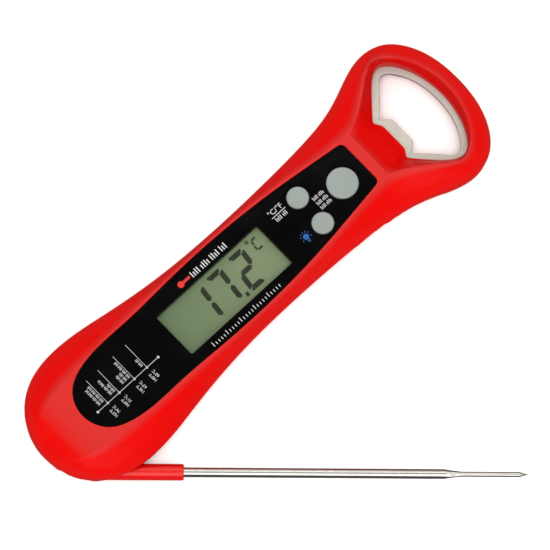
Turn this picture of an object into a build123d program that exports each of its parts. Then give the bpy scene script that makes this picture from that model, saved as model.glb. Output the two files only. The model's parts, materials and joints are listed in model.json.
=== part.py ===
"""Folding-probe meat thermometer with a bottle opener in its head.

The thermometer lies on its back. The origin is the middle of the flat back face, +X runs from the hinge end
to the opener end, +Y across the body away from the probe slot, and +Z out of the display. Units are millimetres.
"""
from build123d import *
import math
import os

# ---------------------------------------------------------------- driving dimensions
Z_SEAM = 9.5  # the two shells meet here
Z_EDGE = 11.0  # top of the upright band at the body's widest outline
Z_FACE = 18.5  # flat front plateau around the overlay
Z_BULGE = 14.25  # level at which the front's side facets bulge
WALL = 2.0
FIT = 0.25  # general assembly gap

# Stations along one side of the body, from the hinge end to the opener end. Each holds a point of the widest
# outline, the matching point of the plateau's edge (the crest of the opener's ring further on), and how far
# towards the outline the side bulges between them.
STATIONS = [
    ((-92.65, 0.0), (-84.0, 0.0), 0.86),
    ((-88.3, 14.0), (-81.5, 8.8), 0.84),
    ((-79.5, 21.2), (-75.0, 11.8), 0.78),
    ((-66.5, 23.8), (-63.0, 13.5), 0.72),
    ((-44.0, 21.1), (-42.0, 14.5), 0.70),
    ((-22.0, 18.35), (-22.0, 14.95), 0.70),
    ((2.0, 17.5), (2.0, 14.8), 0.70),
    ((24.0, 17.95), (22.0, 13.4), 0.70),
    ((40.0, 18.85), (37.0, 11.5), 0.70),
    ((52.0, 20.55), (48.0, 10.3), 0.72),
    ((60.0, 23.1), (55.0, 11.2), 0.76),
    ((67.0, 25.9), (61.0, 14.9), 0.82),
    ((75.0, 27.4), (67.5, 19.6), 0.86),
    ((82.5, 25.3), (74.8, 22.6), 0.86),
    ((89.0, 17.8), (82.6, 15.8), 0.86),
    ((92.65, 0.0), (87.3, 0.0), 0.86),
]
OUTLINE = [station[0] for station in STATIONS]
CREST = [station[1] for station in STATIONS]

# Front overlay, display and buttons
OVERLAY_SIDE = [(-75.7, 0.0), (-71.9, 8.8), (-64.5, 12.3), (-44.5, 13.4), (-24.5, 14.0), (-9.5, 14.2),
                (5.5, 13.7), (20.5, 12.5), (35.5, 10.65), (48.6, 8.9)]
OVERLAY_CORNER = 2.0
OVERLAY_TOP = 18.2
OVERLAY_THICKNESS = 0.5
TAPE_THICKNESS = 0.2
POCKET_FLOOR = OVERLAY_TOP - OVERLAY_THICKNESS - TAPE_THICKNESS
FACE_UNDERSIDE = 15.6
WINDOW_CENTRE = (-13.2, -0.8)
WINDOW = (45.0, 17.1)
LENS_THICKNESS = 1.3
LENS_LEDGE = 1.5
BUTTONS = {  # name: (x, y, cap radius)
    "hold": (39.4, -1.1, 5.3),
    "unit": (25.4, 5.3, 3.7),
    "light": (25.5, -6.5, 3.7),
}
BUTTON_TOP = 19.0
BUTTON_FLANGE = 1.0
STEM_RADIUS = 1.1
SWITCH_HEIGHT = 1.2

# Electronics
BOARD_BOTTOM, BOARD_TOP = 11.2, 12.2
BOARD_X, BOARD_Y = (-66.0, 50.0), (-12.4, 11.0)
LCD_SIZE = (49.0, 20.5)
LCD_BOTTOM, LCD_TOP = 13.7, 15.5
BOARD_SCREWS = [(-60.0, 8.0), (-60.0, -8.5), (17.5, -8.4), (46.5, 7.0)]
BOARD_SCREW_RADIUS = 0.85

# Shell screws, and the two that also clamp the opener plate
SHELL_SCREWS = [(-74.0, 13.0), (-69.5, -5.5), (-10.0, 14.0), (40.0, 14.5)]
OPENER_SCREWS = [(56.0, 6.0), (56.0, -6.0)]
SCREW_RADIUS, SCREW_HEAD_RADIUS = 1.15, 2.1
SCREW_HEAD_BOTTOM, SCREW_HEAD_TOP, SCREW_TIP = 0.6, 2.0, 14.0
BOSS_RADIUS = 2.6

# Folding probe: the hub turns on a hollow pin, and the arm lies to one side of it
PIVOT = (-81.3, -12.0)
REST_ANGLE = -43.8  # the stored pose is part open; 0 is folded away along the body
ARM_OFFSET = 3.0
ARM_RADIUS = 2.7
ARM_END = 28.7
ARM_Z = 6.25
HUB_RADIUS = ARM_OFFSET + ARM_RADIUS
HUB_BOTTOM, HUB_TOP = 3.45, 9.05
PIN_RADIUS, PIN_BORE = 2.5, 1.4
TUBE_RADIUS, TIP_RADIUS = 1.6, 0.85
TUBE_START, TAPER_START, TAPER_END, POINT_START, TIP_END = 12.0, 113.3, 118.9, 137.6, 140.5
SLOT_BOTTOM = 3.1
SLOT_WALL_Y = PIVOT[1] - ARM_OFFSET + ARM_RADIUS + 0.5
SLOT_OPEN_Y = PIVOT[1] + ARM_OFFSET + ARM_RADIUS + 0.4
SLOT_END_X = 43.0
TIP_SLOT_END_X = 63.0
HUB_POCKET_RADIUS = HUB_RADIUS + 0.4
CEILING = 10.9

# Coin-cell compartment and its quarter-turn door
CELL_CENTRE = (-50.0, 4.0)
CELL_RADIUS, CELL_BOTTOM, CELL_TOP = 10.0, 4.5, 7.7
DOOR_RADIUS, DOOR_BORE = 12.4, 12.6
DOOR_BOTTOM, DOOR_TOP = 0.4, 2.2
DOOR_PLUG_RADIUS, DOOR_PLUG_TOP = 11.5, 4.2
LUG_RADIUS, LUG_BOTTOM, LUG_TOP, LUG_ARC = 13.4, 2.45, 3.6, 26.0
LUG_COUNT = 3
DOOR_TURN = 40.0
COMPARTMENT_RADIUS, COMPARTMENT_TOP, COMPARTMENT_ROOF = 14.9, 8.4, 9.4

# Magnets
MAGNETS = [(8.0, 2.5), (30.0, 2.5)]
MAGNET_RADIUS, MAGNET_THICKNESS, MAGNET_SKIN = 6.0, 2.0, 1.0

# Bottle opener
PLATE_BOTTOM, PLATE_TOP = 8.5, 10.5
SOLID_HEAD_X = 50.0  # beyond this the head is solid around the plate
OPENING_TOOTH = [(67.5, 5.1), (64.2, 7.7)]
OPENING_SIDE = [(64.2, 7.7), (71.3, 14.9), (75.4, 18.1), (79.1, 15.0), (81.6, 10.0), (83.15, 0.0)]
RIM_NOTCH = [(63.6, 5.2), (62.1, 7.8)]
RIM_SIDE = [(62.1, 7.8), (68.8, 14.9), (75.8, 20.0), (81.3, 15.0), (83.65, 10.0), (85.15, 0.0)]
PLATE_SIDE = [(57.5, 9.3), (65.5, 17.3), (75.8, 23.4), (84.2, 18.3), (88.4, 0.0)]
PLATE_TANG = (50.6, 9.3)
BOWL_TOP_SIDE = [(54.6, 8.8), (61.0, 13.2), (67.6, 18.0), (74.5, 21.4), (81.7, 14.8), (86.3, 0.0)]
BOWL_FLOOR_SIDE = [(61.8, 8.0), (66.4, 13.1), (71.0, 17.6), (75.8, 20.4), (82.0, 14.9), (85.5, 0.0)]
BOWL_FLOOR_Z, REAR_BOWL_FLOOR_Z = 11.3, 7.7


# ---------------------------------------------------------------- curves
def mirrored(points):
    return [(x, -y) for x, y in points]


def at_height(points, z):
    return [Vector(x, y, z) for x, y in points]


def symmetric_wire(points, z):
    """Smooth closed outline, mirrored about the X axis, whose points run from one end of the axis to the other."""
    loop = Spline(*at_height(points + mirrored(points[-2:0:-1]), z), periodic=True)
    return Wire([loop.trim(0, 0.5), loop.trim(0.5, 1)])


def squared_wire(points, z, notch=()):
    """Closed outline with a straight left end across the axis and a smooth right end. notch lists extra corners
    from the left end's straight middle out to the first of the points."""
    notch = [p for p in notch if p != points[0]]
    left = at_height([*mirrored(points[:1]), *mirrored(notch[::-1]), *notch, points[0]], z)
    curve = Spline(*at_height(points + mirrored(points[-2::-1]), z))
    return Wire([*Polyline(*left).edges(), curve])


def blended(share):
    """Points that lie between the crest and the outline: share is one number, or 'bulge' for each station's own."""
    found = []
    for outer, inner, bulge in STATIONS:
        k = bulge if share == "bulge" else share * bulge
        found.append((inner[0] + k * (outer[0] - inner[0]), inner[1] + k * (outer[1] - inner[1])))
    return found


def shifted(curve, distance, end=1.0, count=26):
    """Points along a curve, as far as the share end of it, moved sideways to its right by distance."""
    found = []
    for i in range(count + 1):
        place, along = curve.position_at(end * i / count), curve.tangent_at(end * i / count)
        found.append((place.X + distance * along.Y, place.Y - distance * along.X))
    return found


def inset(points, distance):
    """Points of the same symmetric outline moved inwards by distance."""
    loop = Spline(*at_height(points + mirrored(points[-2:0:-1]), 0), periodic=True)
    found = shifted(loop, distance, end=0.5)
    return [(found[0][0], 0.0), *found[1:-1], (found[-1][0], 0.0)]


def ruled(wires):
    """Solid between flat outlines that have matching edges, joined level by level by straight rules."""
    faces = [Face(wires[0]), Face(wires[-1])]
    for low, high in zip(wires, wires[1:]):
        for one, other in zip(low.edges(), high.edges()):
            faces.append(Face.make_surface_from_curves(one, other))
    return Solid(Shell(faces))


def prism(wire, bottom, top):
    """Straight prism on a flat wire drawn at any height."""
    height = wire.center().Z
    return Pos(0, 0, bottom - height) * Solid.extrude(Face(wire), Vector(0, 0, top - bottom))


def box(x0, x1, y0, y1, z0, z1):
    size = Box(x1 - x0, y1 - y0, z1 - z0, align=(Align.MIN, Align.MIN, Align.MIN))
    return Pos(x0, y0, z0) * size


def post(x, y, radius, bottom, top):
    return Pos(x, y, bottom) * Cylinder(radius, top - bottom, align=(Align.CENTER, Align.CENTER, Align.MIN))


def ring(x, y, outer, inner, bottom, top):
    return post(x, y, outer, bottom, top) - post(x, y, inner, bottom - 1, top + 1)


def wedge(x, y, outer, inner, bottom, top, middle, arc):
    """Part of a ring, arc degrees wide and centred on the angle middle."""
    sweep = Rot(0, 0, middle - arc / 2) * Cylinder(outer, top - bottom, arc_size=arc,
                                                 align=(Align.CENTER, Align.CENTER, Align.MIN))
    return Pos(x, y, bottom) * sweep - post(x, y, inner, bottom - 1, top + 1)


# ---------------------------------------------------------------- probe slot
def slot_footprint(grow, z0, z1):
    """Where the folded arm, the hub, and the arm on its way to fully open need room, between two heights."""
    x, y = PIVOT
    folded = box(x, SLOT_END_X + grow, -40, SLOT_WALL_Y + grow, z0, z1)
    opened = box(-110, x, -40, SLOT_OPEN_Y + grow, z0, z1)
    return folded + opened + post(x, y, HUB_POCKET_RADIUS + grow, z0, z1)


def tip_groove():
    groove_half = TIP_RADIUS + 0.75
    arm_y = PIVOT[1] - ARM_OFFSET
    return box(SLOT_END_X - 1, TIP_SLOT_END_X, -40, arm_y + groove_half, ARM_Z - groove_half, ARM_Z + groove_half)


# ---------------------------------------------------------------- shells
def head_opening():
    """Hole through both shells, inside which the plate's rim shows."""
    return prism(squared_wire(RIM_SIDE, 0, notch=RIM_NOTCH[:1]), -5, 30)


def front_outside():
    return ruled([symmetric_wire(OUTLINE, Z_SEAM), symmetric_wire(OUTLINE, Z_EDGE),
                  symmetric_wire(blended("bulge"), Z_BULGE), symmetric_wire(CREST, Z_FACE)])


def bowl(floor, mouth):
    """Dished hollow around the opener plate's rim, from its floor to its wider mouth."""
    return ruled([squared_wire(BOWL_FLOOR_SIDE, floor), squared_wire(BOWL_TOP_SIDE, mouth)])


def front_cavity():
    under = (Z_FACE - FACE_UNDERSIDE) / (Z_FACE - Z_BULGE)
    shape = ruled([symmetric_wire(inset(OUTLINE, WALL), Z_SEAM - 0.01),
                   symmetric_wire(inset(OUTLINE, WALL), Z_EDGE),
                   symmetric_wire(inset(blended("bulge"), WALL), Z_BULGE),
                   symmetric_wire(inset(blended(under), WALL), FACE_UNDERSIDE)])
    return shape & box(-100, SOLID_HEAD_X, -40, 40, 0, 30)


def overlay_profile(gap, z):
    """Face of the overlay's pocket, or of the overlay itself when gap is above 0."""
    pocket = Spline(*at_height(OVERLAY_SIDE[::-1] + mirrored(OVERLAY_SIDE[1:]), z))
    points = shifted(pocket, -gap, count=40)
    end_x = OVERLAY_SIDE[-1][0] - gap
    inner = [p for p in points if p[0] < end_x - 0.5]
    side = Spline(*at_height([(end_x, points[0][1]), *inner, (end_x, points[-1][1])], z))
    face = Face(Wire([side, Line(side @ 1, side @ 0)]))
    return face.fillet_2d(OVERLAY_CORNER - gap, [v for v in face.vertices() if v.X > 40])


def window_box(extra, z0, z1):
    x, y = WINDOW_CENTRE
    half_x, half_y = WINDOW[0] / 2 + extra, WINDOW[1] / 2 + extra
    return box(x - half_x, x + half_x, y - half_y, y + half_y, z0, z1)


def front_shell():
    shell = front_outside() - bowl(BOWL_FLOOR_Z, Z_FACE + 0.01) - front_cavity()
    shell -= Solid.extrude(overlay_profile(0, POCKET_FLOOR), Vector(0, 0, 3))
    for x, y in SHELL_SCREWS:
        shell += post(x, y, BOSS_RADIUS, Z_SEAM, FACE_UNDERSIDE + 0.2)
    for x, y in BOARD_SCREWS:
        shell += post(x, y, 2.0, BOARD_TOP, FACE_UNDERSIDE + 0.2)
        shell -= post(x, y, BOARD_SCREW_RADIUS + 0.02, BOARD_TOP - 1, FACE_UNDERSIDE - 0.4)
    shell &= front_outside()
    for x, y in SHELL_SCREWS + OPENER_SCREWS:
        shell -= post(x, y, SCREW_RADIUS + 0.02, Z_SEAM - 1, SCREW_TIP + 0.4)
    shell -= window_box(LENS_LEDGE + 0.1, POCKET_FLOOR - LENS_THICKNESS, Z_FACE)
    shell -= window_box(0.5, FACE_UNDERSIDE - 1, Z_FACE)
    for x, y, radius in BUTTONS.values():
        shell -= post(x, y, radius + FIT, FACE_UNDERSIDE - 1, Z_FACE)
    shell -= prism(plate_outline(0.1), Z_SEAM - 1, PLATE_TOP)
    return shell - head_opening()


def rear_outside():
    levels = [(0.0, Z_SEAM), (0.5, 5.0), (1.7, 1.9), (3.0, 0.6), (4.4, 0.0)]
    return ruled([symmetric_wire(inset(OUTLINE, d), z) for d, z in levels])


def rear_cavity():
    shape = prism(symmetric_wire(inset(OUTLINE, WALL + 0.3), 0), WALL, Z_SEAM + 0.01)
    shape &= box(-100, SOLID_HEAD_X, -40, 40, 0, 30)
    lower = prism(symmetric_wire(inset(OUTLINE, WALL + 2.4), 0), WALL, 5.0)
    shape = (shape & box(-100, 100, -40, 40, 5.0, 30)) + (shape & lower)
    return shape - slot_footprint(1.5, 0, 30)


def rear_ceiling():
    """Roof over the probe slot, just inside the front shell's wall."""
    room = prism(symmetric_wire(inset(OUTLINE, WALL + 1.0), 0), Z_SEAM - 0.2, CEILING)
    return room & slot_footprint(1.5, Z_SEAM - 0.2, CEILING)


def door_slots():
    """Bore, entry slots and turning groove that the battery door's lugs use."""
    x, y = CELL_CENTRE
    shape = post(x, y, DOOR_BORE, -1, DOOR_PLUG_TOP + 0.2)
    shape += post(x, y, LUG_RADIUS + 0.3, LUG_BOTTOM - 0.15, LUG_TOP + 0.2)
    for i in range(LUG_COUNT):
        middle = i * 360 / LUG_COUNT - DOOR_TURN
        shape += wedge(x, y, LUG_RADIUS + 0.3, 5, -1, LUG_BOTTOM, middle, LUG_ARC + 6)
    return shape


def finger_notch():
    """Scallop in the slot's lower lip, so that a fingertip reaches the folded probe."""
    return Pos(18, -24, 0) * Rot(90, 0, 0) * Cylinder(9.0, 30) & box(0, 40, -30, SLOT_WALL_Y, -5, SLOT_BOTTOM + 1)


def rear_shell():
    x, y = CELL_CENTRE
    shell = rear_outside() - bowl(REAR_BOWL_FLOOR_Z, -0.01) - rear_cavity()
    shell += rear_ceiling()
    shell += post(x, y, COMPARTMENT_RADIUS, 1, COMPARTMENT_ROOF) & rear_outside()
    for sx, sy in SHELL_SCREWS:
        shell += post(sx, sy, BOSS_RADIUS, 1, Z_SEAM - 0.05) & rear_outside()
    for mx, my in MAGNETS:
        shell += ring(mx, my, MAGNET_RADIUS + 1.2, MAGNET_RADIUS + 0.1, 1, MAGNET_SKIN + MAGNET_THICKNESS)
        shell -= post(mx, my, MAGNET_RADIUS + 0.1, MAGNET_SKIN, 5)
    shell -= slot_footprint(0, SLOT_BOTTOM, Z_SEAM)
    shell -= tip_groove()
    shell -= finger_notch()
    shell -= door_slots()
    shell -= post(x, y, CELL_RADIUS + 0.35, DOOR_PLUG_TOP - 0.1, COMPARTMENT_TOP)
    for contact_x, contact_y in (CONTACT_MINUS, CONTACT_PLUS):
        shell -= box(contact_x - 1.1, contact_x + 1.1, contact_y - 0.35, contact_y + 0.35, 8, 12)
    for sx, sy in SHELL_SCREWS + OPENER_SCREWS:
        shell -= post(sx, sy, SCREW_HEAD_RADIUS + 0.2, -1, SCREW_HEAD_TOP)
        shell -= post(sx, sy, SCREW_RADIUS + 0.1, -1, 12)
    shell -= prism(plate_outline(0.1), PLATE_BOTTOM, Z_SEAM + 1)
    shell -= hinge_bores()
    return shell - head_opening()


# ---------------------------------------------------------------- hinge
HINGE_HEAD_BOTTOM, HINGE_HEAD_TOP, PIN_BOTTOM, PIN_TOP = 0.4, 1.3, 2.1, 11.5
HINGE_THREAD_TOP = 5.2
PIN_FLANGE_RADIUS = 3.2


def hinge_bores():
    x, y = PIVOT
    return (post(x, y, SCREW_HEAD_RADIUS + 0.2, -1, HINGE_HEAD_TOP) + post(x, y, SCREW_RADIUS + 0.1, -1, 3)
            + post(x, y, PIN_RADIUS + 0.02, PIN_BOTTOM, SLOT_BOTTOM + 1)
            + post(x, y, PIN_RADIUS + 0.02, Z_SEAM - 1, CEILING + 1))


def hinge_pin():
    """Hollow pin. The screw holds its foot, and the sensor leads enter through its window and leave at the top."""
    x, y = PIVOT
    pin = post(x, y, PIN_RADIUS, PIN_BOTTOM, PIN_TOP) + post(x, y, PIN_FLANGE_RADIUS, CEILING, PIN_TOP)
    pin -= post(x, y, SCREW_RADIUS + 0.02, PIN_BOTTOM - 1, HINGE_THREAD_TOP + 0.2)
    pin -= post(x, y, PIN_BORE, HINGE_THREAD_TOP + 0.2, PIN_TOP + 1)
    return pin - box(x, x + 4, y - 1.2, y + 1.2, 5.5, 7.0)


def pan_screw(x, y, bottom, head_top, tip, radius, head_radius):
    """Pan-head screw, point up, with a cross recess in its head."""
    screw = post(x, y, head_radius, bottom, head_top)
    rim = screw.edges().filter_by(GeomType.CIRCLE).sort_by(Axis.Z)[0]
    screw = fillet(rim, 0.35 * (head_top - bottom))
    screw += post(x, y, radius, head_top - 0.1, tip - radius)
    screw += Pos(x, y, tip - radius / 2) * Cone(radius, 0.25 * radius, radius)
    for turn in (0, 90):
        cut = Rot(0, 0, turn) * Box(1.3 * head_radius, 0.28 * head_radius, 2 * 0.45 * (head_top - bottom))
        screw -= Pos(x, y, bottom) * cut
    return screw


def screw_row(places, bottom, head_top, tip, radius, head_radius):
    return Compound(children=[pan_screw(x, y, bottom, head_top, tip, radius, head_radius).solid()
                              for x, y in places])


def friction_washer():
    return ring(*PIVOT, HUB_RADIUS - 0.5, PIN_RADIUS + 0.08, SLOT_BOTTOM, HUB_BOTTOM)


def hub_seal_ring():
    return ring(*PIVOT, 4.4, PIN_RADIUS + 0.08, HUB_TOP, Z_SEAM)


# ---------------------------------------------------------------- probe, drawn folded and then turned to rest
def turned(shape):
    """Moves a shape drawn about the pivot, with the arm along +X, to the stored pose."""
    return Pos(*PIVOT, ARM_Z) * Rot(0, 0, REST_ANGLE) * shape


def rod(radius, start, end, across=0.0):
    """Cylinder along the arm's axis; across is how far to the side of that axis it lies."""
    length = end - start
    return Pos((start + end) / 2, -ARM_OFFSET + across, 0) * Rot(0, 90, 0) * Cylinder(radius, length)


HUB_MAGNET = (-4.1, 0.0, 1.0)


def probe_hub():
    low, high = HUB_BOTTOM - ARM_Z, HUB_TOP - ARM_Z
    disc = post(0, 0, HUB_RADIUS, low, high)
    disc = fillet(disc.edges().filter_by(GeomType.CIRCLE), 0.5)
    arm = rod(ARM_RADIUS, 0, ARM_END)
    arm = fillet(arm.edges().filter_by(GeomType.CIRCLE).sort_by(Axis.X)[-1:], 0.4)
    hub = disc + arm
    hub -= post(0, 0, PIN_RADIUS + 0.06, low - 1, high + 1)
    hub -= post(0, 0, 3.7, -1.0, 1.0)
    hub -= rod(TUBE_RADIUS + 0.01, TUBE_START, ARM_END + 1)
    hub -= rod(0.9, 0.5, TUBE_START + 1)
    x, y, radius = HUB_MAGNET
    hub -= post(x, y, radius + 0.03, 1.35, high + 1)
    return turned(hub)


def hub_magnet():
    x, y, radius = HUB_MAGNET
    return turned(post(x, y, radius, 1.35, 2.55))


def probe_tube():
    """Drawn tube, swaged down to a thin tip that ends in a closed point."""
    bore, tip_bore = TUBE_RADIUS - 0.3, TIP_RADIUS - 0.25
    profile = [(TUBE_START, bore), (TUBE_START, TUBE_RADIUS), (TAPER_START, TUBE_RADIUS), (TAPER_END, TIP_RADIUS),
               (POINT_START, TIP_RADIUS), (TIP_END, 0.06), (TIP_END, 0), (POINT_START - 0.6, 0),
               (POINT_START - 1.0, tip_bore), (TAPER_END, tip_bore), (TAPER_START - 0.5, bore)]
    face = Face(Wire.make_polygon([Vector(s, r, 0) for s, r in profile], close=True))
    return turned(Pos(0, -ARM_OFFSET, 0) * Solid.revolve(face, 360, Axis.X))


def sensor_bead():
    bead = Pos(POINT_START - 1.9, -ARM_OFFSET, 0) * Sphere(0.5)
    return turned(bead - rod(0.6, POINT_START - 4, POINT_START - 2.3))


def sensor_leads():
    return Compound(children=[turned(rod(0.15, 2.0, POINT_START - 2.4, across)) for across in (-0.25, 0.25)])


def body_leads():
    """Two leads from the hinge pin's bore, over its flange, to the end of the board."""
    x, y = PIVOT
    wires = []
    for side in (-0.5, 0.5):
        path = FilletPolyline((x + side, y + side, 6.0), (x + side, y + side, 14.0),
                              (-74.5, -1.0 + 2 * side, 14.0), (-65.2, 2 * side, 14.0),
                              (-65.2, 2 * side, BOARD_TOP), radius=0.8)
        section = Plane(origin=path @ 0, z_dir=path % 0) * Circle(0.3)
        wires.append(sweep(section, path=path).solid())
    return Compound(children=wires)


# ---------------------------------------------------------------- overlay and display
def front_overlay():
    sheet = Solid.extrude(overlay_profile(0.12, OVERLAY_TOP - OVERLAY_THICKNESS), Vector(0, 0, OVERLAY_THICKNESS))
    sheet -= window_box(0, 10, 30)
    for x, y, radius in BUTTONS.values():
        sheet -= post(x, y, radius + 0.2, 10, 30)
    return sheet


def overlay_tape():
    sheet = Solid.extrude(overlay_profile(0.5, POCKET_FLOOR), Vector(0, 0, TAPE_THICKNESS))
    sheet -= window_box(LENS_LEDGE - 0.6, 10, 30)
    for x, y, radius in BUTTONS.values():
        sheet -= post(x, y, radius + 0.6, 10, 30)
    return sheet


def display_lens():
    return window_box(LENS_LEDGE, POCKET_FLOOR - LENS_THICKNESS, POCKET_FLOOR)


def lcd_cell():
    """Liquid-crystal cell: a wide front glass on a back glass that stops short of the contact ledge."""
    x, y = WINDOW_CENTRE
    half_x, half_y = LCD_SIZE[0] / 2, LCD_SIZE[1] / 2
    middle = (LCD_BOTTOM + LCD_TOP) / 2
    front = box(x - half_x, x + half_x, y - half_y, y + half_y, middle, LCD_TOP)
    return front + box(x - half_x, x + half_x, y - half_y + 2.4, y + half_y, LCD_BOTTOM, middle)


def light_guide():
    x, y = WINDOW_CENTRE
    half_y = LCD_SIZE[1] / 2
    return box(x - 24.5, x + 21.5, y - half_y + 3.0, y + half_y, BOARD_TOP + 0.2, LCD_BOTTOM)


def backlight_leds():
    x, y = WINDOW_CENTRE
    return Compound(children=[box(x + 21.7, x + 23.7, y + side - 1.4, y + side + 1.4, BOARD_TOP, BOARD_TOP + 1.0)
                              for side in (-3.0, 6.0)])


def zebra_strip():
    x, y = WINDOW_CENTRE
    low = y - LCD_SIZE[1] / 2
    return box(x - 23, x + 23, low + 0.3, low + 2.0, BOARD_TOP, (LCD_BOTTOM + LCD_TOP) / 2)


def lcd_frame():
    x, y = WINDOW_CENTRE
    half_x, half_y = LCD_SIZE[0] / 2 + 0.15, LCD_SIZE[1] / 2 + 0.15
    outer = box(x - half_x - 1.3, x + half_x + 1.3, y - half_y - 1.0, y + half_y + 1.0, BOARD_TOP, LCD_TOP)
    return outer - box(x - half_x, x + half_x, y - half_y, y + half_y, BOARD_TOP - 1, LCD_TOP + 1)


# ---------------------------------------------------------------- buttons and board
def button_cap(name):
    x, y, radius = BUTTONS[name]
    cap = post(x, y, radius, FACE_UNDERSIDE - 0.6, BUTTON_TOP)
    cap = fillet(cap.edges().filter_by(GeomType.CIRCLE).sort_by(Axis.Z)[-1:], 0.45)
    flange_top = FACE_UNDERSIDE - 0.08
    cap += post(x, y, radius + BUTTON_FLANGE, flange_top - 0.9, flange_top)
    return cap + post(x, y, STEM_RADIUS, stem_top(), flange_top - 0.5)


def stem_top():
    return BOARD_TOP + SWITCH_HEIGHT + 0.65


def switch_stem(name):
    x, y, _ = BUTTONS[name]
    return post(x, y, STEM_RADIUS, BOARD_TOP + 0.85, stem_top())


def switch_housings():
    made = []
    for x, y, radius in BUTTONS.values():
        half = min(3.0, radius - 1.2)
        housing = box(x - half, x + half, y - half, y + half, BOARD_TOP, BOARD_TOP + SWITCH_HEIGHT)
        made.append((housing - post(x, y, STEM_RADIUS + 0.1, BOARD_TOP + 0.2, 20)).solid())
    return Compound(children=made)


def main_board():
    board = box(*BOARD_X, *BOARD_Y, BOARD_BOTTOM, BOARD_TOP)
    board = fillet(board.edges().filter_by(Axis.Z), 3.0)
    for x, y in BOARD_SCREWS:
        board -= post(x, y, BOARD_SCREW_RADIUS + 0.1, 0, 20)
    return board


def controller_chip():
    return box(-56.0, -48.0, -5.5, 2.5, BOARD_TOP, BOARD_TOP + 1.2)


def board_parts():
    """Small surface-mount parts: two rows of resistors and capacitors beside the chip."""
    made = [box(x, x + 1.6, y, y + 0.8, BOARD_TOP, BOARD_TOP + 0.5)
            for y in (4.4, -8.2) for x in (-55.6, -52.8, -50.0, -47.2, -44.4)]
    return Compound(children=made)


def reed_switch():
    """Glass switch that the hub's magnet works, so that opening the probe turns the thermometer on."""
    glass = Pos(-63.2, 0.5, BOARD_TOP + 1.1) * Rot(90, 0, 0) * Cylinder(1.0, 8.0)
    return fillet(glass.edges().filter_by(GeomType.CIRCLE), 0.6)


# ---------------------------------------------------------------- battery
CONTACT_MINUS = (-50.0, 4.0)
CONTACT_PLUS = (-50.0, 14.1)


def coin_cell():
    """Coin cell: the wide can faces the door, and the smaller cap faces the board."""
    x, y = CELL_CENTRE
    can = post(x, y, CELL_RADIUS, CELL_BOTTOM, CELL_TOP - 0.35)
    can = fillet(can.edges().filter_by(GeomType.CIRCLE), 0.3)
    return can + post(x, y, CELL_RADIUS - 1.2, CELL_TOP - 0.6, CELL_TOP)


def negative_contact():
    """Sprung leaf under the compartment's roof, with a tail up to the board."""
    x, y = CONTACT_MINUS
    leaf = box(x - 6, x + 6, y - 1.5, y + 1.5, COMPARTMENT_TOP - 0.2, COMPARTMENT_TOP)
    leaf += post(x - 4, y, 1.2, CELL_TOP, COMPARTMENT_TOP)
    return leaf + box(x - 1, x + 1, y - 0.2, y + 0.2, COMPARTMENT_TOP - 0.1, BOARD_BOTTOM)


def positive_contact():
    x, y = CONTACT_PLUS
    return box(x - 1, x + 1, y + 0.02, y + 0.2, CELL_BOTTOM + 0.6, BOARD_BOTTOM)


def battery_door():
    x, y = CELL_CENTRE
    door = post(x, y, DOOR_RADIUS, DOOR_BOTTOM, DOOR_TOP)
    door = fillet(door.edges().filter_by(GeomType.CIRCLE).sort_by(Axis.Z)[:1], 0.3)
    door += post(x, y, DOOR_PLUG_RADIUS, DOOR_TOP - 0.1, DOOR_PLUG_TOP)
    for i in range(LUG_COUNT):
        door += wedge(x, y, LUG_RADIUS, DOOR_PLUG_RADIUS - 1, LUG_BOTTOM, LUG_TOP, i * 360 / LUG_COUNT, LUG_ARC)
    door -= ring(x, y, DOOR_RADIUS + 1, DOOR_RADIUS - 0.75, 0.95, 1.8)
    coin_slot = Pos(x, y, DOOR_BOTTOM) * Box(17.0, 1.9, 2.2)
    return door - fillet(coin_slot.edges().filter_by(Axis.Z), 0.9)


def door_o_ring():
    x, y = CELL_CENTRE
    return Pos(x, y, 1.375) * Torus(DOOR_RADIUS - 0.35, 0.38)


def back_magnets():
    return Compound(children=[post(x, y, MAGNET_RADIUS, MAGNET_SKIN, MAGNET_SKIN + MAGNET_THICKNESS)
                              for x, y in MAGNETS])


# ---------------------------------------------------------------- opener
def plate_outline(grow):
    """Outside edge of the opener plate with its tang; grow widens it for the pocket in the shells."""
    side = [(x + (grow if i == len(PLATE_SIDE) - 1 else 0), y + grow if y else 0.0)
            for i, (x, y) in enumerate(PLATE_SIDE)]
    tang_x, tang_y = PLATE_TANG[0] - grow, PLATE_TANG[1] + grow
    return squared_wire(side, 0, notch=[(tang_x, tang_y)])


def opener_plate():
    plate = prism(plate_outline(0), PLATE_BOTTOM, PLATE_TOP)
    plate -= prism(squared_wire(OPENING_SIDE, 0, notch=OPENING_TOOTH[:1]), 0, 20)
    for x, y in OPENER_SCREWS:
        plate -= post(x, y, SCREW_RADIUS + 0.1, 0, 20)
    return plate


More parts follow.
